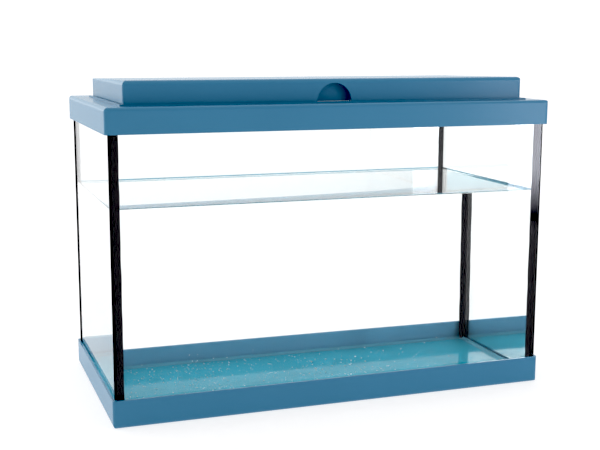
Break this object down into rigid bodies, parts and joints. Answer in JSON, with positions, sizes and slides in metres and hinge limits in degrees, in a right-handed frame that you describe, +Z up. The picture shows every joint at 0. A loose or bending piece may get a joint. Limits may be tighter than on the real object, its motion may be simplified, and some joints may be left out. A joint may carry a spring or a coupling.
{
  "type": "aquarium",
  "caption": "Rectangular glued glass tank in a plastic base tray, with a plastic top frame and a hinged lid that carries a fluorescent lamp.",
  "frame": {"origin": "centre of the base tray's underside, on the surface that the tank stands on", "axes": "+X to the right along the length, +Y to the rear (hinge side), +Z up"},
  "size_m": [0.612, 0.312, 0.4339],
  "materials": {
    "blue_plastic": "satin, moulded",
    "clear_glass": "polished float glass",
    "black_silicone": "smooth, cured",
    "clear_silicone": "translucent, smooth",
    "black_rubber": "matt",
    "steel": "bright zinc",
    "aluminium_cap": "satin",
    "lamp_glass": "white phosphor behind glass",
    "white_sheet": "white gloss",
    "black_plastic": "fine grain",
    "white_plastic": "smooth",
    "ballast_case": "zinc grey"
  },
  "bodies": {
    "tank": {"base_tray": "blue_plastic", "bottom_glass": "clear_glass", "front_glass": "clear_glass", "rear_glass": "clear_glass", "left_glass": "clear_glass", "right_glass": "clear_glass", "seam_front_left": "black_silicone", "seam_front_right": "black_silicone", "seam_rear_left": "black_silicone", "seam_rear_right": "black_silicone", "bottom_bead": "clear_silicone", "top_frame": "blue_plastic", "hinge_pin_left": "steel", "hinge_pin_right": "steel", "lid_pad_left": "black_rubber", "lid_pad_right": "black_rubber"},
    "lid": {"lid": "blue_plastic", "reflector": "white_sheet", "reflector_screws": "steel", "tube": "lamp_glass", "tube_cap_left": "aluminium_cap", "tube_cap_right": "aluminium_cap", "socket_left": "black_plastic", "socket_right": "black_plastic", "tube_clip_left": "white_plastic", "tube_clip_right": "white_plastic", "gear_box": "white_plastic", "gear_cover": "white_plastic", "cover_screws": "steel", "ballast": "ballast_case", "starter": "white_plastic", "cable_gland": "black_plastic"},
    "collar_left": {"collar_left": "black_plastic"},
    "collar_right": {"collar_right": "black_plastic"}
  },
  "joints": [
    {"name": "lid_hinge", "type": "hinge", "parent": "tank", "child": "lid", "pos_m": [0, 0.12, 0.4085], "axis": [-1, 0, 0], "range_deg": [0, 95]},
    {"name": "collar_left_turn", "type": "hinge", "parent": "lid", "child": "collar_left", "pos_m": [-0.216, -0.012, 0.404], "axis": [-1, 0, 0], "range_deg": [0, 90]},
    {"name": "collar_right_turn", "type": "hinge", "parent": "lid", "child": "collar_right", "pos_m": [0.216, -0.012, 0.404], "axis": [1, 0, 0], "range_deg": [0, 90]}
  ]
}
